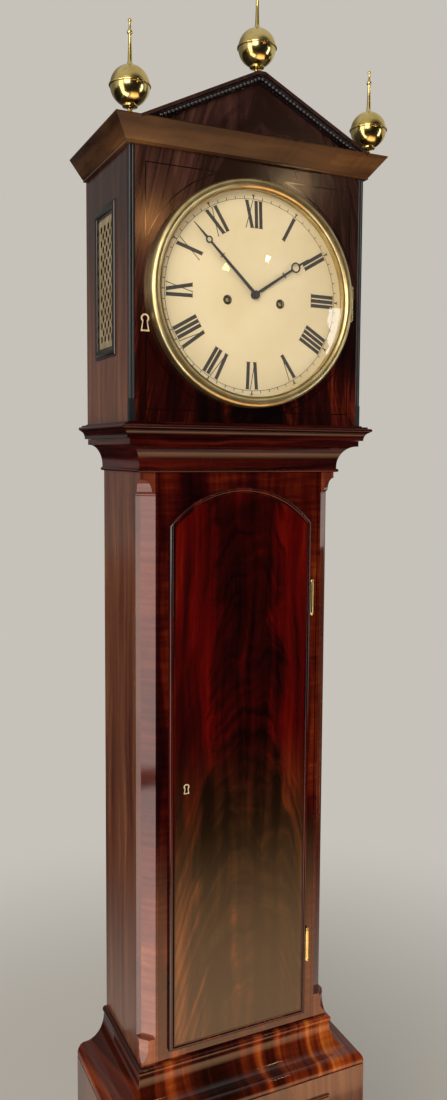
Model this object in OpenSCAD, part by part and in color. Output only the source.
// Longcase clock with a round painted dial, a pedimented hood and an eight-day striking movement.
// The origin is on the floor under the middle of the clock. The wall side is towards +Y.

/* [Base] */
// Width of the base
base_w = 445; // [430:1:470]
// Depth of the base, from the wall to its front
base_d = 228; // [220:1:236]
// Height of the base up to its top moulding
base_h = 497; // [440:1:560]
// Thickness of the base and hood boards
board_t = 18; // [15:1:20]
// Height of the skirting
skirting_h = 92; // [70:1:120]
// Thickness of the skirting
skirting_t = 12; // [8:1:14]
// Width of the framed panel on the base
panel_w = 306; // [260:2:340]
// Plain border above and below the framed panel
panel_margin = 34; // [24:1:50]
// Height of the moulding between base and trunk
base_moulding_h = 79; // [70:1:95]

/* [Trunk] */
// Width of the trunk
trunk_w = 338; // [330:1:350]
// Depth of the trunk, from the wall to its front
trunk_d = 185; // [180:1:192]
// Height of the trunk between its mouldings
trunk_h = 946; // [900:2:1000]
// Thickness of the trunk boards
trunk_board_t = 15; // [12:1:17]
// Width of each canted corner, along either leg
cant = 24; // [18:1:28]
// Thickness of the backboard
back_t = 12; // [9:1:15]
// Height of the moulding that carries the hood
throat_h = 51; // [46:1:60]

/* [Trunk door] */
// Width of the door over its moulded edge
door_w = 248; // [236:1:252]
// Height from the foot of the trunk to the door
door_foot = 18; // [14:1:30]
// Height of the door from its foot to the springing of its arch
door_spring_h = 846; // [780:2:860]
// Rise of the arched top of the door
door_rise = 58; // [50:1:70]
// Width of the bead round the door
door_bead = 9; // [6:0.5:11]
// How far the door stands proud of its frame
door_proud = 8; // [6:0.5:9]
// How far the door laps over its frame
door_lap = 5; // [4:0.5:8]

/* [Hood] */
// How far the hood stands out beyond the trunk at each side
hood_overhang = 28; // [26:0.5:32]
// Depth of the hood, from the wall to its front
hood_d = 217; // [214:1:224]
// Height of the hood between its mouldings
hood_h = 392; // [385:1:400]
// Width of the reeded corner columns
column_w = 9; // [8:0.5:12]
// Height of the plain block under each column
column_block_h = 33; // [24:1:40]
// Width of the side windows
window_w = 74; // [60:1:80]
// Height of the side windows
window_h = 200; // [180:1:220]
// Height of a side window's middle above the foot of the hood
window_up = 215; // [200:1:225]
// Width of the moulded frame round a side window
window_frame = 15; // [12:1:18]
// Diameter of the holes in the window frets
fret_hole_d = 11.8; // [9:0.1:12]
// Distance between hole centres along one row of a fret
fret_pitch = 17.5; // [17:0.5:22]

/* [Cornice and pediment] */
// Height of the splayed cornice
cornice_h = 33; // [28:1:36]
// Projection of the splay at its foot
cornice_foot = 5; // [3:1:8]
// Projection of the splay at its top
cornice_out = 27; // [24:1:32]
// Width of the pediment
pediment_w = 376; // [350:2:390]
// Height of the pediment
pediment_h = 93; // [80:1:110]
// Thickness of the raking moulding across its slope
raking_t = 15; // [12:1:18]
// Radius of the finial balls
ball_r = 28; // [24:0.5:32]
// Height of the finial stem below the ball
stem_h = 13; // [8:1:18]
// Height of the spire above the ball centre
spire_h = 91; // [80:1:110]

/* [Dial and bezel] */
// Height of the dial centre above the foot of the hood
dial_up = 194; // [190:1:198]
// Radius of the dial
dial_r = 156.5; // [150:0.5:158]
// Rise of the convex dial at its centre
dial_rise = 7; // [4:0.5:8]
// Outer radius of the bezel
bezel_r = 170; // [166:0.5:174]
// Radius of the glass that shows inside the bezel
bezel_sight_r = 153.5; // [148:0.5:155]
// Depth of the bezel in front of the hood
bezel_t = 20; // [18:0.5:22]
// Rise of the convex glass
glass_rise = 13; // [8:0.5:16]
// Length of the minute hand from the centre to its tip
minute_len = 141; // [130:0.5:146]
// Length of the hour hand from the centre to its tip
hour_len = 110; // [90:0.5:116]

/* [Movement] */
// Width of the plates
plate_w = 184; // [178:1:192]
// Height of the plates
plate_h = 158; // [155:1:166]
// Thickness of the plates
plate_t = 3; // [2.5:0.5:4]
// Distance between the plates
plate_gap = 60; // [58:1:64]
// Distance from the wall to the back plate
plate_back = 94; // [92:1:100]
// Radius of the barrels that carry the gut lines
barrel_r = 20; // [18:0.5:20.5]
// Diameter of the gut lines
gut_d = 1.5; // [1:0.1:2]
// Modulus of the great wheels
great_m = 0.877; // [0.85:0.001:0.88]
// Radius of the bell
bell_r = 42; // [36:1:46]

/* [Pendulum and weights] */
// Distance from the suspension to the middle of the bob
pendulum_l = 994; // [960:1:1000]
// Radius of the bob
bob_r = 90; // [70:1:95]
// Thickness of the bob
bob_t = 30; // [20:1:34]
// Radius of a weight
weight_r = 28; // [22:0.5:30]
// Length of a weight
weight_l = 200; // [160:1:220]
// How far the weights have run down
weight_drop = 300; // [60:5:500]

/* [Hidden] */
// Clearances, all in millimetres
touch = 0.3;
running = 0.25;
lid_gap = 0.3;

// Heights
z_trunk = base_h + base_moulding_h;
z_throat = z_trunk + trunk_h;
z_hood = z_throat + throat_h + touch;
hood_rail_h = 24;
z_hood_box = z_hood + hood_rail_h;
z_cornice = z_hood_box + hood_h;
z_roof = z_cornice + cornice_h;
z_dial = z_hood_box + dial_up;

// Depths in front of the wall
front_of_cornice = hood_d + cornice_out;
pediment_d = front_of_cornice - 12;
finial_d = pediment_d - 6;
seam = 1.8;
back_y = max(front_of_cornice, finial_d + ball_r + seam) / 2;
plate_front = plate_back + 2 * plate_t + plate_gap;
dial_edge = hood_d - 2;
dial_t = 1.5;
hour_plane = dial_edge + dial_rise + dial_t + 2;
minute_plane = hour_plane + 3.5;
centre_r = 2;
cannon_r = 3.6;
hour_pipe_r = 5.2;

// Widths
trunk_out = (base_w - trunk_w) / 2;
hood_w = trunk_w + 2 * hood_overhang;
hood_front_out = hood_d - trunk_d;
aperture_r = dial_r + 4.5;

// Colours, as the piece looks under polish
mahogany = "#5b2417";
dark_mahogany = "#3a1410";
side_mahogany = "#6b4a3a";
deal = "#9a7a52";
ebony = "#10141a";
brass = "#c9a84c";
steel = "#8f9296";
blued = "#15161c";
cream = "#e8dcb4";
glass = [0.85, 0.9, 0.92, 0.3];
gut = "#c8a870";

// Moves a piece from wall coordinates, where y is minus the depth, to its place over the origin.
module in_case() {
    translate([0, back_y, 0]) children();
}

// Board between two positions across, two depths from the wall and two heights.
module block(x0, x1, d0, d1, z0, z1) {
    translate([x0, -d1, z0]) cube([x1 - x0, d1 - d0, z1 - z0]);
}

// Outline seen from the front, drawn as x and height, from depth d outwards by t.
module facing(d, t) {
    translate([0, -d, 0]) rotate([90, 0, 0]) linear_extrude(t) children();
}

// Turned piece whose axis runs forwards from depth d at the place given.
module turned(x, z, d) {
    translate([x, -d, z]) rotate([90, 0, 0]) children();
}

module both_sides() {
    children();
    mirror([1, 0, 0]) children();
}

// Points of an ellipse's arc from angle a0 to a1.
function arc(cx, cy, rx, ry, a0, a1, n) =
    [for (i = [0:n]) let (a = a0 + (a1 - a0) * i / n) [cx + rx * cos(a), cy + ry * sin(a)]];

function reversed(pts) = [for (i = [len(pts) - 1:-1:0]) pts[i]];

// Length of moulding mitred round the front and both sides of a box.
// The profiles list [projection, height] from the bottom to the top.
module mitred(half_w, depth, z0, side, front) {
    top = side[len(side) - 1][1];
    right = [for (p = side) [half_w + p[0], z0 + p[1]]];
    left = [for (p = reversed(side)) [-half_w - p[0], z0 + p[1]]];
    section = [for (p = front) [-depth - p[0], z0 + p[1]]];
    out = max([for (p = concat(side, front)) p[0]]) + 1;
    reach = half_w + out;
    difference() {
        intersection() {
            translate([0, 1, 0]) rotate([90, 0, 0]) linear_extrude(depth + out + 1)
                polygon(concat(right, left));
            translate([-reach, 0, 0]) rotate([90, 0, 90]) linear_extrude(2 * reach)
                polygon(concat([[0, z0]], section, [[0, z0 + top]]));
        }
        translate([-half_w, -depth, z0 - 1]) cube([2 * half_w, depth + 2, top + 2]);
    }
}

// Base

// Front, sides and floor, glued up, with a planted moulding round the framed panel.
floor_z = 30;
floor_t = 12;
module base_carcase() {
    inner = base_w / 2 - board_t;
    color(mahogany) in_case() {
        difference() {
            block(-base_w / 2, base_w / 2, 0, base_d, 0, base_h);
            block(-inner, inner, -1, base_d - board_t, -1, floor_z);
            block(-inner, inner, -1, base_d - board_t, floor_z + floor_t, base_h + 1);
        }
        both_sides() {
            block(back_half + touch, inner + 1, 0, back_t, floor_z + floor_t - 1, trunk_foot - touch);
            block(trunk_w / 2 + touch, inner + 1, 0, back_t, trunk_foot - 2, base_h);
        }
        panel_moulding();
    }
}

module skirting() {
    lip = skirting_t * 0.6;
    profile = concat([[0, 0], [skirting_t, 0], [skirting_t, skirting_h - lip]],
        arc(skirting_t - lip, skirting_h - lip, lip, lip, 0, 90, 6), [[0, skirting_h]]);
    color(mahogany) in_case() mitred(base_w / 2, base_d, 0, profile, profile);
}

module panel_moulding() {
    z0 = skirting_h + panel_margin;
    z1 = base_h - panel_margin;
    w = 10;
    for (step = [[0, 3], [2.5, 5]]) facing(base_d, step[1]) difference() {
        translate([-panel_w / 2 + step[0], z0 + step[0]])
            square([panel_w - 2 * step[0], z1 - z0 - 2 * step[0]]);
        translate([-panel_w / 2 + w - step[0], z0 + w - step[0]])
            square([panel_w - 2 * w + 2 * step[0], z1 - z0 - 2 * w + 2 * step[0]]);
    }
}

// Bead under the trunk, long hollow, sharp arris, ovolo and a sunk quirk over the base.
function base_profile(out, h) = let (ovolo = 19, quirk = 3, bead = 12)
    concat([[0, 0], [out - 2, 0], [out - 2, quirk], [out, quirk]],
        arc(out - 13, quirk, 13, ovolo, 0, 90, 8),
        arc(out - 14.5, h - bead - 2, out - 20, h - bead - ovolo - quirk - 2, 270, 180, 14),
        [[4.5, h - bead]],
        arc(3, h - bead / 2, 4.5, bead / 2, -80, 80, 8), [[0, h]]);

module base_moulding() {
    color(mahogany) in_case()
        mitred(trunk_w / 2, trunk_d, base_h, base_profile(trunk_out, base_moulding_h),
            base_profile(base_d - trunk_d, base_moulding_h));
}

// Trunk

trunk_foot = z_trunk - base_moulding_h - 60;
seat_up = -62;
seat_t = 20;
z_seat = z_dial + seat_up - seat_t;
foot_stop_h = 42;
head_stop_h = 33.5;
trunk_front_t = 18;

// Side boards run from inside the base up into the hood, where they carry the seat board.
module trunk_side() {
    outer = trunk_w / 2;
    difference() {
        block(outer - trunk_board_t, outer, 0, trunk_d - trunk_front_t, trunk_foot, z_seat);
        block(outer - trunk_board_t - 1, outer - trunk_board_t + 6, -1, back_t, trunk_foot - 1, z_seat + 1);
        cant_cut();
    }
}

module trunk_sides() {
    color(side_mahogany) in_case() both_sides() trunk_side();
}

back_half = trunk_w / 2 - trunk_board_t + 5.5;
module backboard() {
    color(deal) in_case() block(-back_half, back_half, 0, back_t, floor_z + floor_t, z_cornice - 30);
}

door_z = z_trunk + door_foot;
opening_half = door_w / 2 - door_lap;
// Radius of an arch from its half width and rise.
function arch_r(half, rise) = (half * half + rise * rise) / (2 * rise);

// Door outline drawn in by an inset from its outer edge.
module door_shape(inset) {
    half = door_w / 2 - inset;
    r = arch_r(door_w / 2, door_rise) - inset;
    top = door_z + door_spring_h + door_rise - inset;
    intersection() {
        translate([-half, door_z + inset]) square([2 * half, door_spring_h + door_rise]);
        union() {
            translate([0, top - r]) circle(r = r, $fn = 180);
            translate([-half, door_z + inset]) square([2 * half, door_spring_h - inset]);
        }
    }
}

// Corner of the frame, canted between a pointed stop at its foot and a hollow one at its head.
// The outline lists [width of the cant, height] and is cut straight across the corner.
module cant_cut() {
    low = z_trunk + foot_stop_h;
    high = z_throat - head_stop_h;
    tongue = cant * 0.475;
    tongue_h = 23.5;
    neck_h = 12;
    quirk = 0.85;
    hollow = cant - 6;
    hollow_h = 19.7;
    hollow_foot = high + 3.9;
    cut = concat([for (a = [0:15:90]) [tongue * pow(sin(a), 1.3), low - neck_h - tongue_h * cos(a)]],
        [[tongue * 0.95, low - neck_h / 2], [tongue * 1.14, low], [cant, low],
            [cant, high - 2 - quirk], [cant + quirk, high - 2], [cant, high - 2 + quirk], [cant, high],
            [cant - 3.3, high + 2.3]],
        [for (a = [0:10:90]) [hollow * cos(a), hollow_foot + hollow_h * sin(a)]]);
    ends = [[1, hollow_foot + hollow_h], [1, low - neck_h - tongue_h]];
    translate([trunk_w / 2, -trunk_d, 0]) rotate([0, 0, -45]) rotate([90, 0, 0])
        linear_extrude(3 * cant, center = true)
            polygon(concat([for (p = cut) [-p[0] / sqrt(2), p[1]]], ends));
}

module trunk_front_frame() {
    half = trunk_w / 2;
    color(mahogany) in_case() difference() {
        facing(trunk_d - trunk_front_t, trunk_front_t) difference() {
            translate([-half, trunk_foot]) square([2 * half, z_throat + throat_h - trunk_foot]);
            door_shape(door_lap);
        }
        both_sides() cant_cut();
    }
}

// Astragal, hollow and fascia, for a given overhang.
function throat_profile(out, h) = let (bead = 5.5, hollow_foot = 8.5, fascia = 9)
    concat([[0, 0], [3, 0]], arc(3, bead / 2, 3, bead / 2, -80, 80, 6), [[3, bead], [3, hollow_foot]],
        reversed(arc(out - 2.5, hollow_foot, out - 5.5, h - fascia - hollow_foot, 90, 180, 12)),
        [[out - 0.5, h - fascia], [out - 0.5, h], [0, h]]);

module throat_moulding() {
    color(dark_mahogany) in_case()
        mitred(trunk_w / 2, trunk_d, z_throat, throat_profile(hood_overhang, throat_h),
            throat_profile(hood_front_out, throat_h));
}

module seat_board() {
    color(deal) in_case() difference() {
        block(-trunk_w / 2, trunk_w / 2, back_t + touch, trunk_d - trunk_front_t, z_seat, z_seat + seat_t);
        for (x = [-winding_x, winding_x])
            block(x - line_r - 5, x - line_r + 5, barrel_mid - 16, barrel_mid + 16, z_seat - 1, z_seat + seat_t + 1);
        for (x = [-pillar_x, pillar_x]) translate([x, -pillar_mid, z_seat - 1])
            cylinder(r = screw_r + running, h = seat_t + 2, $fn = 24);
        block(-30, 30, 0, plate_back - 2, z_seat - 1, z_seat + seat_t + 1);
    }
}

// Trunk door

module door_panel() {
    color(mahogany) in_case() {
        facing(trunk_d + lid_gap, door_proud - lid_gap - 1) difference() {
            door_shape(door_bead);
            keyhole_place(door_lock_x, door_lock_z, 2.4, 7);
        }
        facing(trunk_d - 12, 12 + lid_gap) difference() {
            door_shape(door_lap + 2);
            keyhole_place(door_lock_x, door_lock_z, 2.4, 7);
        }
    }
}

// Half-round moulding planted round the edge of the door.
module door_bead_moulding() {
    color(dark_mahogany) in_case() {
        facing(trunk_d + lid_gap, door_proud - lid_gap - 2.5) difference() {
            door_shape(0);
            door_shape(door_bead);
        }
        facing(trunk_d + door_proud - 2.5, 1.5) difference() {
            door_shape(0.8);
            door_shape(door_bead);
        }
        facing(trunk_d + door_proud - 1, 1) difference() {
            door_shape(2.2);
            door_shape(door_bead - 1.5);
        }
    }
}

door_lock_x = -door_w / 2 + 28;
door_lock_z = door_z + 431;

// Keyhole outline: a round eye over a straight slot.
module keyhole(r, drop) {
    circle(r = r, $fn = 32);
    translate([-r * 0.55, -drop]) square([r * 1.1, drop]);
}

module keyhole_place(x, z, r, drop) {
    translate([x, z]) keyhole(r, drop);
}

module door_escutcheon() {
    color(cream) in_case() translate([door_lock_x, 0, door_lock_z]) facing(trunk_d + door_proud - 1, 1.2)
        difference() {
            translate([0, -2]) scale([0.62, 1]) circle(r = 9, $fn = 48);
            keyhole(2.4, 7);
        }
}

lock_d0 = trunk_d - 28;
bolt_slot = 6;
module door_lock() {
    color(brass) in_case() difference() {
        block(door_lock_x - 12, door_lock_x + 26, lock_d0, trunk_d - 12, door_lock_z - 30, door_lock_z + 25);
        block(door_lock_x - 13, door_lock_x + 16, lock_d0 + 2, lock_d0 + 2 + bolt_slot, door_lock_z + 3,
            door_lock_z + 17);
        translate([door_lock_x, 0, door_lock_z]) facing(lock_d0 - 1, 20) circle(r = 2.4, $fn = 32);
    }
}

module door_lock_bolt() {
    gap = running;
    color(steel) in_case()
        block(door_lock_x - 12, door_lock_x + 12, lock_d0 + 2 + gap, lock_d0 + 2 + bolt_slot - gap,
            door_lock_z + 3 + gap, door_lock_z + 17 - gap);
}

// Butt hinge with ball tips on a vertical pin. The fixed part keeps the outer knuckles and the pin.
knuckle_r = 3.5;
pin_r = 1.5;
module hinge_fixed(len, leaf, leaf_t) {
    third = len / 3;
    union() {
        translate([0, 0, -len / 2]) cylinder(r = pin_r, h = len, $fn = 24);
        for (s = [-1, 1]) translate([0, 0, s * third]) cylinder(r = knuckle_r, h = third, center = true, $fn = 32);
        for (s = [-1, 1]) translate([0, 0, s * (len / 2 + 2.2)]) sphere(r = 3.6, $fn = 32);
        for (s = [-1, 1]) translate([0, knuckle_r + touch - leaf_t, s * third - third / 2])
            cube([leaf, leaf_t, third]);
    }
}

module hinge_moving(len, leaf, leaf_t) {
    third = len / 3 - 2 * running;
    difference() {
        union() {
            cylinder(r = knuckle_r, h = third, center = true, $fn = 32);
            translate([-leaf, -leaf_t / 2, 0.5 - third / 2]) cube([leaf - knuckle_r + 1, leaf_t, third - 1]);
        }
        cylinder(r = pin_r + running, h = third + 2, center = true, $fn = 24);
    }
}

hinge_l = 50;
door_axis_x = door_w / 2 + 4;
door_axis_d = trunk_d + knuckle_r + touch;
door_hinge_shares = [0.143, 0.852];
door_hinge_z = [for (s = door_hinge_shares) door_z + s * door_spring_h];

module door_hinges_fixed() {
    color(brass) in_case() for (z = door_hinge_z) translate([door_axis_x, -door_axis_d, z])
        hinge_fixed(hinge_l, 4.5, 1.2);
}

module door_hinges_moving() {
    color(brass) in_case() for (z = door_hinge_z) translate([door_axis_x, -door_axis_d, z])
        hinge_moving(hinge_l, 4, 1.6);
}

// Hood

side_front = hood_d - column_w;
window_d = 105;
window_z = z_hood_box + window_up;

module hood_side() {
    inner = hood_w / 2 - board_t;
    difference() {
        union() {
            block(inner, hood_w / 2, 0, hood_d - board_t, z_hood, z_cornice);
            block(hood_w / 2 - column_w, hood_w / 2, hood_d - board_t - 1, side_front, z_hood, z_cornice);
        }
        block(inner - 1, hood_w / 2 + 1, window_d - window_w / 2, window_d + window_w / 2,
            window_z - window_h / 2, window_z + window_h / 2);
    }
}

module hood_sides() {
    color(side_mahogany) in_case() both_sides() {
        hood_side();
        window_frame_moulding();
    }
}

hood_lock_x = -hood_w / 2 + 24;
hood_lock_z = z_dial - 48;

module hood_front() {
    half = hood_w / 2 - column_w;
    color(dark_mahogany) in_case() facing(hood_d - board_t, board_t) difference() {
        translate([-half, z_hood]) square([2 * half, z_cornice - z_hood]);
        translate([0, z_dial]) circle(r = aperture_r, $fn = 180);
        keyhole_place(hood_lock_x, hood_lock_z, 2.4, 8);
    }
}

module hood_escutcheon() {
    color(cream) in_case() translate([hood_lock_x, 0, hood_lock_z]) facing(hood_d, 1)
        difference() {
            translate([0, -3]) scale([0.52, 1]) circle(r = 12.5, $fn = 48);
            keyhole(2.4, 8);
        }
}

// Reeded posts let into the front corners, over plain blocks.
module hood_columns() {
    reed = column_w / 4;
    x0 = hood_w / 2 - column_w;
    color(ebony) in_case() both_sides() {
        block(x0, hood_w / 2, side_front, hood_d, z_hood, z_hood_box + column_block_h);
        translate([0, 0, z_hood_box + column_block_h]) linear_extrude(hood_h - column_block_h) union() {
            translate([x0, -hood_d + reed]) square([column_w - reed, column_w - reed]);
            for (i = [0, 1]) {
                translate([x0 + reed * (1 + 2 * i), -hood_d + reed]) circle(r = reed, $fn = 20);
                translate([hood_w / 2 - reed, -hood_d + reed * (1 + 2 * i)]) circle(r = reed, $fn = 20);
            }
        }
    }
}

// Swept rail at the foot of the hood, with a bead along its tip.
function rail_profile() = let (h = hood_rail_h)
    concat([[0, 0], [5, 0]], reversed(arc(13, 0, 8, 13, 90, 180, 7)), [[12, 14]],
        arc(12.6, 16.8, 2.9, 2.8, -80, 80, 6), [[10, 19.6], [10, 22], [3, 22.4], [3, h], [0, h]]);

module hood_rail() {
    color(dark_mahogany) in_case() mitred(hood_w / 2, hood_d, z_hood, rail_profile(), rail_profile());
}

// Moulded frame planted round a side window.
module window_frame_moulding() {
    w = window_w + 2 * window_frame;
    h = window_h + 2 * window_frame;
    for (step = [[0, 1.4], [3, 2.2]]) translate([hood_w / 2, -window_d, window_z]) rotate([90, 0, 90])
        linear_extrude(step[1]) difference() {
            square([w - 2 * step[0], h - 2 * step[0]], center = true);
            square([window_w + 2 * step[0], window_h + 2 * step[0]], center = true);
        }
}

// Pierced brass panel nearly flush in each side window, its holes in staggered rows.
fret_t = 1.2;
fret_back = 1;
module fret() {
    row_pitch = fret_pitch * 0.6;
    rows = floor((window_h - 12) / row_pitch);
    cols = floor((window_w - 2) / fret_pitch);
    difference() {
        square([window_w - 2 * touch, window_h - 2 * touch], center = true);
        for (i = [0:rows - 1]) let (odd = i % 2)
            for (j = [0:cols - 1 - odd])
                translate([(j - (cols - 1) / 2 + odd / 2) * fret_pitch, (i - (rows - 1) / 2) * row_pitch])
                    circle(d = fret_hole_d, $fn = 24);
    }
}

module window_frets() {
    color(brass) in_case() both_sides()
        translate([hood_w / 2 - fret_back - fret_t, -window_d, window_z]) rotate([90, 0, 90])
            linear_extrude(fret_t) fret();
}

// Cornice, pediment and finials

module cornice() {
    profile = [[0, 0], [cornice_foot, 0], [cornice_foot, 3.5], [cornice_foot + 1, 3.5],
        [cornice_out, cornice_h - 1.5], [cornice_out, cornice_h], [0, cornice_h]];
    color(mahogany) in_case() {
        mitred(hood_w / 2, hood_d, z_cornice, profile, profile);
        difference() {
            block(-hood_w / 2, hood_w / 2, 0, hood_d, z_cornice, z_roof);
            block(-hood_w / 2 + board_t, hood_w / 2 - board_t, -1, hood_d - board_t, z_cornice - 1, z_roof - 12);
        }
    }
}

pediment_t = 14;
cleat = 20;
module pediment() {
    cleat_half = pediment_w * 0.29;
    slope = atan2(pediment_h, pediment_w / 2);
    fall = raking_t / cos(slope);
    half = pediment_w / 2 - fall / tan(slope);
    color(dark_mahogany) in_case() {
        facing(pediment_d - pediment_t, pediment_t)
            polygon([[-half, z_roof], [half, z_roof], [0, z_roof + pediment_h - fall]]);
        block(-cleat_half, cleat_half, pediment_d - pediment_t - cleat, pediment_d - pediment_t,
            z_roof, z_roof + cleat);
    }
}

// Moulding planted along the two slopes, its upper part standing further forward.
raking_out = 12;
module raking_moulding() {
    slope = atan2(pediment_h, pediment_w / 2);
    half = pediment_w / 2;
    apex = z_roof + pediment_h;
    module rafter(t, d0, d1) {
        fall = t / cos(slope);
        foot = t / sin(slope);
        flat = apex_flat / tan(slope);
        facing(d0, d1 - d0) polygon([[-half, z_roof], [-flat, apex - apex_flat], [flat, apex - apex_flat],
            [half, z_roof], [half - foot, z_roof], [0, apex - fall], [-half + foot, z_roof]]);
    }
    color(ebony) in_case() {
        rafter(raking_t, pediment_d - pediment_t, pediment_d + raking_out / 3);
        rafter(raking_t * 0.62, pediment_d - pediment_t, pediment_d + raking_out * 2 / 3);
        rafter(raking_t * 0.34, pediment_d - pediment_t - 2, pediment_d + raking_out);
    }
}

// Ball with a raised seam, on a waisted stem, under a slender spire.
module finial(stem) {
    half = [for (a = [-78:12:-6]) [ball_r * cos(a), ball_r * sin(a)]];
    upper = [for (a = [6:12:78]) [ball_r * cos(a), ball_r * sin(a)]];
    rotate_extrude($fn = 48) polygon(concat(
        [[0, -ball_r - stem], [6, -ball_r - stem], [6, -ball_r - stem + 2], [4, -ball_r - stem + 4],
            [3.4, -ball_r - 5], [9.5, -ball_r - 2], [11, -ball_r - 0.8], [11, -ball_r + 1]],
        half, [[ball_r + seam, -1.2], [ball_r + seam, 1.2]], upper,
        [[5, ball_r + 0.8], [3.8, ball_r + 2.5], [3.2, ball_r + 6], [2.4, spire_h * 0.62],
            [2, spire_h - 22.5], [4, spire_h - 19.5], [4, spire_h - 17.5], [2, spire_h - 14.5],
            [1.6, spire_h - 6], [2.6, spire_h - 4], [2.6, spire_h - 2], [0, spire_h]]));
}

finial_x = hood_w / 2 + 1;
centre_stem = 11;
apex_flat = 3;
module finials() {
    color(brass) in_case() {
        for (x = [-finial_x, finial_x]) translate([x, -finial_d, z_roof + ball_r + stem_h]) finial(stem_h);
        translate([0, -finial_d, z_roof + pediment_h - apex_flat + ball_r + centre_stem]) finial(centre_stem);
    }
}

// Bezel

bezel_d = hood_d + lid_gap;
bezel_hinge_l = 46;
module bezel() {
    color(brass) in_case() {
        bezel_ring();
        translate([bezel_axis_x, -bezel_axis_d, z_dial]) hinge_moving(bezel_hinge_l, 6, 1.6);
    }
}

module bezel_ring() {
    turn = arc(bezel_sight_r + 9, bezel_t - 6, 7, 6, 20, 160, 10);
    turned(0, z_dial, bezel_d) rotate_extrude($fn = 180)
        polygon(concat([[bezel_sight_r + 3, 0], [bezel_r, 0], [bezel_r, bezel_t - 8]], turn,
            [[bezel_sight_r, bezel_t - 4], [bezel_sight_r, bezel_t - 6], [bezel_sight_r + 3, bezel_t - 6]]));
}

// Spherical cap between two radii of curvature, as for a convex glass or dial.
module dished(r, rise, t, hole_r) {
    curve = (r * r + rise * rise) / (2 * rise);
    reach = asin(r / curve);
    outer = [for (i = [0:16]) let (a = reach * i / 16) [curve * sin(a), curve * cos(a) - curve + rise]];
    rotate_extrude($fn = 120) difference() {
        polygon(concat([for (p = outer) [p[0], p[1] + t]], reversed(outer)));
        translate([-1, -1]) square([hole_r + 1, rise + t + 2]);
    }
}

module bezel_glass() {
    seat = bezel_t - 6 - 2 - touch - 0.5;
    color(glass) in_case() turned(0, z_dial, bezel_d + seat) dished(bezel_sight_r + 2.6, glass_rise, 2, 0);
}

bezel_axis_x = bezel_r + 4.5;
bezel_axis_d = hood_d + knuckle_r + touch;
module bezel_hinge_fixed() {
    color(brass) in_case() translate([bezel_axis_x, -bezel_axis_d, z_dial])
        hinge_fixed(bezel_hinge_l, 8, 1);
}

// Dial and hands

winding_x = 44.5;

module dial() {
    color(cream) in_case() {
        dial_disc();
        dial_feet();
    }
}

module dial_disc() {
    difference() {
        turned(0, z_dial, dial_edge) dished(dial_r, dial_rise, dial_t, hour_pipe_r + 1);
        for (x = [-winding_x, winding_x]) turned(x, z_dial + going_at[1], dial_edge - 5)
            cylinder(r = 5.5, h = 30, $fn = 32);
    }
}

foot_x = 64;
foot_z = 74;
function feet_places() = [for (x = [-foot_x, foot_x], z = [-50, foot_z]) [x, z_dial + z]];

// Height of the dial's back over its edge at a distance from the centre.
function dial_back(r) = let (curve = (dial_r * dial_r + dial_rise * dial_rise) / (2 * dial_rise))
    sqrt(curve * curve - r * r) - curve + dial_rise;

module dial_feet() {
    for (p = feet_places()) let (r = norm([p[0], p[1] - z_dial]))
        turned(p[0], p[1], plate_front) cylinder(r = 3, h = dial_edge - plate_front + dial_back(r) + dial_t / 2,
            $fn = 24);
}

// Hand outline along +Y: blade, cross bar, open ring and pointed tip.
module hand_shape(len, ring_at, ring_r, bar_at, tail) {
    difference() {
        union() {
            circle(r = 6.5, $fn = 40);
            polygon([[-2.6, 0], [2.6, 0], [1.7, ring_at - ring_r + 0.5], [-1.7, ring_at - ring_r + 0.5]]);
            translate([-4.5, bar_at - 0.9]) square([9, 1.8]);
            translate([0, ring_at]) circle(r = ring_r, $fn = 32);
            polygon([[-1.9, ring_at + ring_r - 0.6], [1.9, ring_at + ring_r - 0.6], [0.35, len], [-0.35, len]]);
            if (tail > 0) translate([-1.8, -tail]) square([3.6, tail]);
        }
        translate([0, ring_at]) circle(r = ring_r - 2.2, $fn = 32);
        circle(r = centre_r + running, $fn = 24);
    }
}

minute_turn = -313.6 + 360;
hour_turn = -56.1;

module minute_hand() {
    color(blued) in_case() turned(0, z_dial, minute_plane) rotate(minute_turn)
        linear_extrude(1) hand_shape(minute_len, 107, 5.5, 77, 0);
}

module hour_hand() {
    color(blued) in_case() turned(0, z_dial, hour_plane) rotate(hour_turn) linear_extrude(1) difference() {
        hand_shape(hour_len, 84, 8, 60, 0);
        circle(r = hour_pipe_r, $fn = 32);
    }
}

// Movement frame

module plate_outline() {
    translate([-plate_w / 2, z_dial + seat_up]) square([plate_w, plate_h]);
}

// Arbor places, as x and height over the dial centre.
great_c = great_m * (96 + 8) / 2;
centre_at = [0, 0];
going_at = [winding_x, -sqrt(great_c * great_c - winding_x * winding_x)];
third_m = 0.75;
third_at = [8, sqrt(pow(third_m * 34, 2) - 64)];
escape_m = 0.68;
escape_at = [0, third_at[1] + sqrt(pow(escape_m * 31.5, 2) - 64)];
escape_r = 19;
pallet_at = [0, escape_at[1] + escape_r * sqrt(2)];
strike_at = [-winding_x, going_at[1]];
strike_c = great_m * (84 + 8) / 2;
pin_at = strike_at + [6.5, sqrt(strike_c * strike_c - 42.25)];
gather_at = pin_at + [16, sqrt(pow(third_m * 36, 2) - 256)];
warn_at = gather_at + [-20, sqrt(pow(escape_m * 31.5, 2) - 400)];
fly_m = 0.6;
fly_at = warn_at + [2, sqrt(pow(fly_m * 28, 2) - 4)];
reverse_m = 0.7;
reverse_at = [15, -sqrt(pow(reverse_m * 36, 2) - 225)];
hammer_at = [-72, 30];
arbors = [centre_at, going_at, third_at, escape_at, pallet_at, strike_at, pin_at, gather_at, warn_at,
    fly_at, hammer_at];
pivot_r = 1.2;

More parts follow.
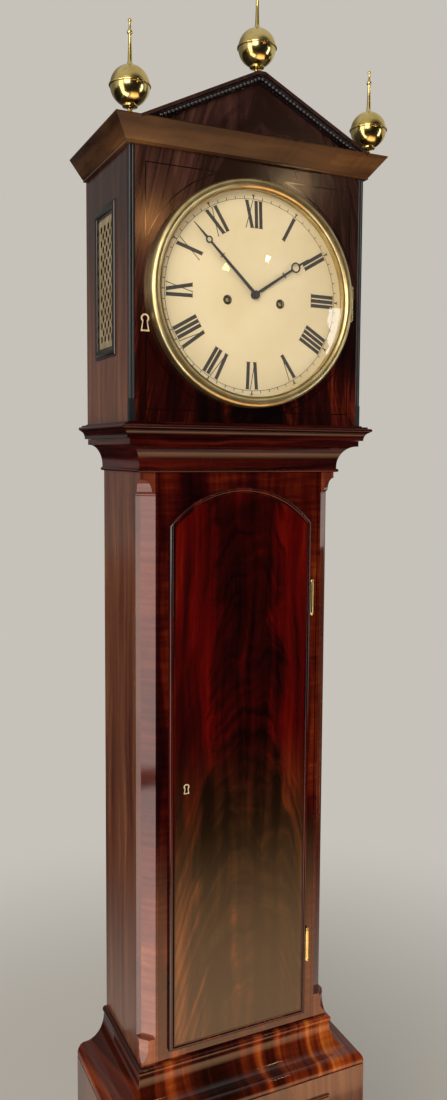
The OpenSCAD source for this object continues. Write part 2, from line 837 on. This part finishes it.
// Places the children at an arbor, from a height over the back plate's front face.
module at_arbor(p, s) {
    turned(p[0], z_dial + p[1], plate_back + plate_t + s) children();
}

module pivot_holes(d) {
    for (p = arbors) turned(p[0], z_dial + p[1], d) cylinder(r = pivot_r + running, h = 10, center = true, $fn = 20);
}

// Back plate with its riveted pillars, the screws that hold it down and the stand of the bell.
module back_plate() {
    color(brass) in_case() {
        difference() {
            facing(plate_back, plate_t) plate_outline();
            pivot_holes(plate_back + plate_t / 2);
        }
        pillars();
        seat_screws();
        bell_stand();
    }
}

module front_plate() {
    hole = 4.5 + running;
    color(brass) in_case() {
        difference() {
            facing(plate_front - plate_t, plate_t) plate_outline();
            pivot_holes(plate_front - plate_t / 2);
            for (p = [going_at, strike_at]) turned(p[0], z_dial + p[1], plate_front)
                cylinder(r = hole, h = 12, center = true, $fn = 32);
            turned(0, z_dial, plate_front) cylinder(r = centre_r + running, h = 12, center = true, $fn = 32);
        }
        reverse_stud();
    }
}

pillar_inset = 9;
pillar_r = 6;
pillar_x = plate_w / 2 - pillar_inset;
pillar_mid = plate_back + plate_t + plate_gap / 2;
screw_r = 2.5;
function pillar_places() = [for (x = [-pillar_x, pillar_x],
    z = [seat_up + pillar_inset, seat_up + plate_h - pillar_inset]) [x, z]];

module pillars() {
    for (p = pillar_places()) at_arbor(p, 0) rotate_extrude($fn = 32)
        polygon([[0, 0], [pillar_r, 0], [pillar_r, 3], [4, 6], [4, plate_gap / 2 - 10],
            [pillar_r, plate_gap / 2 - 6], [pillar_r, plate_gap / 2 + 6], [4, plate_gap / 2 + 10],
            [4, plate_gap - 6], [pillar_r, plate_gap - 3], [pillar_r, plate_gap], [0, plate_gap]]);
}

// Screws up through the seat board into the lower pillars.
module seat_screws() {
    for (x = [-pillar_x, pillar_x]) translate([x, -pillar_mid, z_seat - 3]) {
        cylinder(r = 6, h = 3, $fn = 24);
        cylinder(r = screw_r, h = 3 + seat_t + pillar_inset - pillar_r + 1, $fn = 24);
    }
}

// Gear teeth. A wheel has pointed teeth, and a pinion has slim radial leaves.
function spun(r, a) = [r * cos(a), r * sin(a)];
function wheel_points(m, n) = let (r = m * n / 2, step = 360 / n)
    [for (i = [0:n - 1]) let (a = i * step)
        each [spun(r - 1.35 * m, a - 0.27 * step), spun(r - 1.35 * m, a - 0.21 * step), spun(r, a - 0.2 * step),
            spun(r + 1.05 * m, a), spun(r, a + 0.2 * step), spun(r - 1.35 * m, a + 0.21 * step)]];
function pinion_points(m, n) = let (r = m * n / 2, step = 360 / n)
    [for (i = [0:n - 1]) let (a = i * step)
        each [spun(r - 1.35 * m, a - 0.16 * step), spun(r, a - 0.16 * step), spun(r + 0.6 * m, a - 0.06 * step),
            spun(r + 0.6 * m, a + 0.06 * step), spun(r, a + 0.16 * step), spun(r - 1.35 * m, a + 0.16 * step)]];

// Crossed-out wheel, with a rim, four crossings and a hub.
module wheel(m, n, t, turn) {
    r = m * n / 2 - 1.35 * m;
    rim = max(1.6, r * 0.12);
    linear_extrude(t) difference() {
        rotate(turn) polygon(wheel_points(m, n));
        difference() {
            circle(r = r - rim, $fn = 48);
            circle(r = max(3.2, r * 0.2), $fn = 32);
            for (a = [0, 90]) rotate(a + 45) square([2 * r, max(1.8, r * 0.1)], center = true);
        }
    }
}

module pinion(m, n, t, turn) {
    rotate(turn) linear_extrude(t) polygon(pinion_points(m, n));
}

// Turn that puts a tooth, or a gap, of a wheel on the line from one arbor to another.
function toward(from, to) = atan2(to[1] - from[1], to[0] - from[0]);
function tooth_on(from, to) = toward(from, to);
function gap_on(from, to, n) = toward(from, to) + 180 / n;

module arbor(s0, s1, r) {
    translate([0, 0, s0]) cylinder(r = r, h = s1 - s0, $fn = 24);
}

// Arbor that turns in both plates, with pivots at its ends.
module plate_arbor(p, r) {
    at_arbor(p, 0) {
        arbor(0.5, plate_gap - 0.5, r);
        arbor(-plate_t, plate_gap + plate_t, pivot_r);
    }
}

// Going train

module going_great_wheel() {
    color(brass) in_case() at_arbor(going_at, 4) difference() {
        wheel(great_m, 96, 3, tooth_on(going_at, centre_at));
        translate([0, 0, -1]) cylinder(r = 3 + running, h = 5, $fn = 32);
    }
}

// Grooved barrel on the winding arbor, with its squared end behind the dial hole.
module winding_barrel(p) {
    at_arbor(p, 0) {
        rotate_extrude($fn = 48) polygon(concat([[0, 8], [barrel_r + 1.5, 8], [barrel_r + 1.5, 10]],
            [for (i = [0:12]) each [[barrel_r, 10.6 + 2.4 * i], [barrel_r - 0.6, 11.8 + 2.4 * i]]],
            [[barrel_r, 42], [barrel_r + 1.5, 42.6], [barrel_r + 1.5, 44], [0, 44]]));
        arbor(0.5, 10, 3);
        arbor(-plate_t, 2, pivot_r);
        arbor(40, plate_gap + plate_t + 6, 4.5);
        translate([-2.6, -2.6, plate_gap]) cube([5.2, 5.2, dial_edge - plate_front + plate_t + 6]);
    }
}

module going_barrel() {
    color(brass) in_case() winding_barrel(going_at);
}

// Centre arbor with its pinion and wheel, and the collet that keeps the hands on.
module centre_arbor() {
    color(brass) in_case() {
        at_arbor(centre_at, 0) {
            arbor(0.5, plate_gap - 0.5, centre_r + 0.4);
            arbor(-plate_t, 1, pivot_r);
            arbor(plate_gap - 1, minute_plane + 3 - plate_back - plate_t, centre_r);
            arbor(minute_plane + 1 + touch - plate_back - plate_t, minute_plane + 3 - plate_back - plate_t, 3.5);
            translate([0, 0, 2]) pinion(great_m, 8, 7, gap_on(centre_at, going_at, 8));
            translate([0, 0, 51]) wheel(third_m, 60, 2, tooth_on(centre_at, third_at));
        }
    }
}

// Wheel on a pipe that grips the centre arbor by friction and carries the minute hand.
module cannon_wheel() {
    color(brass) in_case() at_arbor(centre_at, plate_gap + plate_t + 3) difference() {
        union() {
            wheel(reverse_m, 24, 2, tooth_on(centre_at, reverse_at));
            cylinder(r = cannon_r, h = minute_plane - plate_front - 3, $fn = 32);
        }
        translate([0, 0, -1]) cylinder(r = centre_r + running, h = minute_plane - plate_front, $fn = 24);
    }
}

module reverse_wheel() {
    s = plate_gap + plate_t;
    color(brass) in_case() at_arbor(reverse_at, s) difference() {
        union() {
            translate([0, 0, 3]) wheel(reverse_m, 48, 2, gap_on(reverse_at, centre_at, 48));
            translate([0, 0, 4.5]) pinion(hour_m, 10, 5, gap_on(reverse_at, centre_at, 10));
        }
        translate([0, 0, -1]) cylinder(r = 1.2 + running, h = 14, $fn = 20);
    }
}

// Stud on the front plate that carries the reverse wheel.
module reverse_stud() {
    at_arbor(reverse_at, plate_gap + plate_t - 0.5) arbor(0, 11, 1.2);
}

hour_m = reverse_m * 36 / 35;
module hour_wheel() {
    s = plate_gap + plate_t;
    color(brass) in_case() at_arbor(centre_at, s + 7) difference() {
        union() {
            wheel(hour_m, 60, 2, tooth_on(centre_at, reverse_at));
            cylinder(r = hour_pipe_r, h = hour_plane + 1 - plate_front - 7, $fn = 32);
            translate([0, 0, 3]) linear_extrude(1.5) snail();
            cylinder(r = 7, h = 4, $fn = 32);
        }
        translate([0, 0, -1]) cylinder(r = cannon_r + running, h = hour_plane + 3 - plate_front - 7, $fn = 32);
    }
}

// Twelve-step cam that sets how many blows are struck.
module snail() {
    polygon([for (i = [0:11], a = [0:10:30]) spun(20 - i, 30 * i + a)]);
}

module third_wheel() {
    color(brass) in_case() {
        plate_arbor(third_at, 1.5);
        at_arbor(third_at, 48) pinion(third_m, 8, 8, gap_on(third_at, centre_at, 8));
        at_arbor(third_at, 30) wheel(escape_m, 56, 2, tooth_on(third_at, escape_at));
    }
}

// Thirty raked teeth, and the seven-leaved pinion that drives them.
module escape_wheel() {
    step = 360 / 30;
    color(brass) in_case() {
        plate_arbor(escape_at, 1.3);
        at_arbor(escape_at, 27) pinion(escape_m, 7, 8, gap_on(escape_at, third_at, 7));
        at_arbor(escape_at, 38) linear_extrude(2) difference() {
            polygon([for (i = [0:29]) let (a = (i + 0.5) * step)
                each [spun(escape_r - 4, a), spun(escape_r, a + 1), spun(escape_r - 4, a + 5)]]);
            difference() {
                circle(r = escape_r - 6, $fn = 48);
                circle(r = 3.5, $fn = 32);
                for (a = [0, 90]) rotate(a) square([2 * escape_r, 2], center = true);
            }
        }
    }
}

// Pallets, with nibs held clear of the teeth, on an arbor whose crutch reaches down to the pendulum.
pallet_lift = 1.8;
rod_r = 3;
fork_half = rod_r + 0.6;
module pallets() {
    arm_angle = 48;
    fork_z = -120;
    inner = escape_r + pallet_lift;
    drop = pallet_at[1] - escape_at[1];
    color(steel) in_case() {
        at_arbor(pallet_at, 0) {
            arbor(0.5, plate_gap - 0.5, 1.6);
            arbor(-plate_t - 6, 1, pivot_r);
            arbor(plate_gap - 1, plate_gap + plate_t, pivot_r);
            translate([0, 0, 36]) linear_extrude(6) difference() {
                intersection() {
                    translate([0, -drop]) circle(r = inner + 6, $fn = 72);
                    translate([0, -drop]) polygon([[0, 0], spun(60, 90 - arm_angle), [60, 60], [-60, 60],
                        spun(60, 90 + arm_angle)]);
                }
                translate([0, -drop]) circle(r = inner, $fn = 72);
            }
            translate([0, 0, 36]) cylinder(r = 5, h = 6, $fn = 32);
        }
        at_arbor(pallet_at, -plate_t - 6) {
            cylinder(r = 4, h = 2, $fn = 24);
            translate([-1.5, fork_z, 0]) cube([3, -fork_z, 2]);
            translate([-fork_half - 2, fork_z, 0]) cube([2 * fork_half + 4, 5, 2]);
            for (x = [-fork_half - 2, fork_half]) translate([x, fork_z, pendulum_d - plate_back + 2])
                cube([2, 5, plate_back - pendulum_d]);
        }
    }
}

// Strike train

module strike_great_wheel() {
    color(brass) in_case() at_arbor(strike_at, 4) difference() {
        wheel(great_m, 84, 3, tooth_on(strike_at, pin_at));
        translate([0, 0, -1]) cylinder(r = 3 + running, h = 5, $fn = 32);
    }
}

module strike_barrel() {
    color(brass) in_case() winding_barrel(strike_at);
}

module pin_wheel() {
    color(brass) in_case() {
        plate_arbor(pin_at, 1.8);
        at_arbor(pin_at, 2) pinion(great_m, 8, 7, gap_on(pin_at, strike_at, 8));
        at_arbor(pin_at, 46.5) {
            wheel(third_m, 64, 2, tooth_on(pin_at, gather_at));
            for (a = [0:45:315]) translate(spun(21, a)) cylinder(r = 0.8, h = 5, $fn = 16);
        }
    }
}

module gathering_wheel() {
    color(brass) in_case() {
        plate_arbor(gather_at, 1.5);
        at_arbor(gather_at, 44) pinion(third_m, 8, 7, gap_on(gather_at, pin_at, 8));
        at_arbor(gather_at, 24) wheel(escape_m, 56, 2, tooth_on(gather_at, warn_at));
    }
}

module warning_wheel() {
    color(brass) in_case() {
        plate_arbor(warn_at, 1.3);
        at_arbor(warn_at, 21) pinion(escape_m, 7, 8, gap_on(warn_at, gather_at, 7));
        at_arbor(warn_at, 34) wheel(fly_m, 49, 2, tooth_on(warn_at, fly_at));
    }
}

module fly() {
    color(steel) in_case() {
        plate_arbor(fly_at, 1.2);
        at_arbor(fly_at, 31) pinion(fly_m, 7, 8, gap_on(fly_at, warn_at, 7));
        at_arbor(fly_at, 6) translate([-13, -0.5, 0]) cube([26, 1, 14]);
    }
}

// Hammer on its arbor, with a tail near the pins and a head beside the bell.
bell_z = 118;
bell_t = 2.5;
bell_at = [-8, bell_z];
bell_s = 52.5;
module hammer() {
    color(steel) in_case() {
        plate_arbor(hammer_at, 1.8);
        at_arbor(hammer_at, 50) {
            cylinder(r = 4, h = 5, $fn = 24);
            translate([-1.5, 0, 1]) cube([3, bell_z - hammer_at[1] + 4, 3]);
            translate([0, -1, 0.5]) cube([11, 2, 4]);
        }
        translate([hammer_at[0] - 2, -plate_back - plate_t - bell_s, z_dial + bell_z + 2])
            rotate([0, 90, 0]) cylinder(r = 6, h = bell_at[0] - bell_r - 2 - hammer_at[0] + 2, $fn = 32);
    }
}

// Bell over the plates, open downwards, on a stand from the back plate.
module bell() {
    r = bell_r;
    t = bell_t;
    color(brass) in_case() translate([bell_at[0], -plate_back - plate_t - bell_s, z_dial + bell_z])
        rotate_extrude($fn = 72) polygon(concat([[3, r * 0.8 - t]],
            reversed(arc(0, 0, r - t, r * 0.8 - t, 4, 86, 14)), [[r - t, 0], [r, 0]],
            arc(0, 0, r, r * 0.8, 4, 86, 14), [[3, r * 0.8]]));
}

// Post bent over the plates, with a collar under the bell and a nut over it.
module bell_stand() {
    x = bell_at[0];
    d = plate_back + plate_t + bell_s;
    z0 = z_dial + seat_up + plate_h - 9;
    crown = z_dial + bell_z + bell_r * 0.8;
    block(x - 5, x + 5, plate_back - 3, plate_back, z0, z0 + 22);
    block(x - 3, x + 3, plate_back - 3, d + 3, z0 + 18, z0 + 22);
    translate([x, -d, z0 + 20]) cylinder(r = 2.8, h = crown + 5 - z0 - 20, $fn = 24);
    translate([x, -d, crown - bell_t - 4]) cylinder(r = 5, h = 3.5, $fn = 32);
    translate([x, -d, crown + 0.05]) cylinder(r = 5, h = 4, $fn = 32);
}

// Pendulum

pendulum_d = 70;
z_pivot = z_dial + pallet_at[1];
z_bob = z_pivot - pendulum_l;
spring_w = 8;
cock_up = 5;

// Cock on the back plate, its two cheeks either side of the suspension spring.
module back_cock() {
    color(brass) in_case() {
        difference() {
            block(-14, 14, pendulum_d - 8, plate_back, z_pivot + cock_up, z_pivot + cock_up + 8);
            block(-4, 4, pendulum_d - 9, pendulum_d + 4, z_pivot, z_pivot + cock_up + 9);
        }
        both_sides() block(14, 34, plate_back - 3, plate_back, z_pivot + cock_up, z_pivot + cock_up + 8);
    }
}

// Steel rod, hung on a flat spring and threaded below the bob.
module pendulum_rod() {
    foot = z_bob - bob_r - 34;
    spring_d0 = pendulum_d - spring_w / 2;
    spring_d1 = pendulum_d + spring_w / 2 - 1;
    color(steel) in_case() {
        block(-0.25, 0.25, spring_d0, spring_d1, z_pivot - 22, z_pivot + cock_up + 5);
        block(-3.4, 3.4, spring_d0, spring_d1, z_pivot + cock_up + 1, z_pivot + cock_up + 6);
        block(-4, 4, pendulum_d - 3.5, pendulum_d + 3.5, z_pivot - 24, z_pivot - 12);
        translate([0, -pendulum_d, foot]) cylinder(r = rod_r, h = z_pivot - 18 - foot, $fn = 24);
    }
}

module pendulum_bob() {
    color(brass) in_case() difference() {
        turned(0, z_bob, pendulum_d) rotate_extrude($fn = 72) polygon(concat(
            arc(0, 0, bob_r, bob_t / 2, 90, 4, 14), [[bob_r, 1.5], [bob_r, -1.5]],
            arc(0, 0, bob_r, bob_t / 2, -4, -90, 14)));
        translate([0, -pendulum_d, z_bob]) cylinder(r = rod_r, h = 2 * bob_r + 20, center = true, $fn = 24);
    }
}

module rating_nut() {
    color(brass) in_case() translate([0, -pendulum_d, z_bob - bob_r - 12]) difference() {
        union() {
            cylinder(r = 9, h = 7, $fn = 48);
            translate([0, 0, 7]) cylinder(r = 5, h = 5 - touch, $fn = 32);
        }
        translate([0, 0, -1]) cylinder(r = rod_r + running, h = 20, $fn = 24);
    }
}

// Weights, each on a pulley in a double fall of gut

barrel_mid = plate_back + plate_t + 26;
line_r = barrel_r + gut_d / 2 + running;
pulley_r = line_r;
z_pulley_top = z_seat - pulley_r - 24;
z_pulley = z_pulley_top - weight_drop;

module weight(x) {
    top = z_pulley - pulley_r - 14;
    translate([x, -barrel_mid, 0]) {
        translate([0, 0, top - weight_l]) rotate_extrude($fn = 64) polygon([[0, 0], [weight_r - 2, 0],
            [weight_r, 2], [weight_r, weight_l - 4], [weight_r - 4, weight_l], [0, weight_l]]);
        translate([0, 0, top - 1]) cylinder(r = 2.5, h = 8, $fn = 24);
        difference() {
            translate([-4, -9, top + 5]) cube([8, 18, pulley_r + 14]);
            translate([-5, -3.5, top + 9]) cube([10, 7, pulley_r + 20]);
            translate([0, 0, z_pulley]) rotate([90, 0, 0]) cylinder(r = 1.5, h = 30, center = true, $fn = 24);
        }
    }
}

module going_weight() {
    color(brass) in_case() weight(winding_x);
}

module strike_weight() {
    color(brass) in_case() weight(-winding_x);
}

// Grooved pulley with its pin.
module pulley(x) {
    g = gut_d / 2 + running;
    groove = line_r - gut_d / 2 - running;
    turned(x, z_pulley, barrel_mid) {
        rotate_extrude($fn = 48) polygon([[0, -3], [line_r + 0.8, -3], [line_r + 0.8, -2],
            [groove, -g], [groove, g], [line_r + 0.8, 2], [line_r + 0.8, 3], [0, 3]]);
        cylinder(r = 1.5 - 0.1, h = 18, center = true, $fn = 24);
    }
}

module going_pulley() {
    color(brass) in_case() pulley(winding_x);
}

module strike_pulley() {
    color(brass) in_case() pulley(-winding_x);
}

// One line from the barrel down round the pulley and up to the seat board.
module gut_line(x) {
    r = gut_d / 2;
    z1 = z_dial + going_at[1];
    translate([x, -barrel_mid, 0]) {
        translate([-line_r, 0, z_pulley]) cylinder(r = r, h = z1 - z_pulley, $fn = 13);
        translate([line_r, 0, z_pulley]) cylinder(r = r, h = z_seat - z_pulley, $fn = 13);
        translate([0, 0, z_pulley]) rotate([90, 0, 0]) rotate_extrude(angle = -180, $fn = 48)
            translate([line_r, 0]) circle(r = r, $fn = 13);
    }
}

module going_line() {
    color(gut) in_case() gut_line(winding_x);
}

module strike_line() {
    color(gut) in_case() gut_line(-winding_x);
}

base_carcase();
skirting();
base_moulding();
trunk_sides();
backboard();
trunk_front_frame();
throat_moulding();
seat_board();
door_hinges_fixed();
door_panel();
door_bead_moulding();
door_escutcheon();
door_lock();
door_lock_bolt();
door_hinges_moving();
hood_sides();
hood_front();
hood_escutcheon();
hood_columns();
hood_rail();
window_frets();
cornice();
pediment();
raking_moulding();
finials();
bezel_hinge_fixed();
bezel();
bezel_glass();
dial();
back_plate();
front_plate();
back_cock();
bell();
hammer();
centre_arbor();
cannon_wheel();
minute_hand();
hour_wheel();
hour_hand();
reverse_wheel();
going_great_wheel();
third_wheel();
escape_wheel();
pallets();
strike_great_wheel();
pin_wheel();
gathering_wheel();
warning_wheel();
fly();
going_barrel();
strike_barrel();
going_line();
strike_line();
going_weight();
strike_weight();
going_pulley();
strike_pulley();
pendulum_rod();
pendulum_bob();
rating_nut();
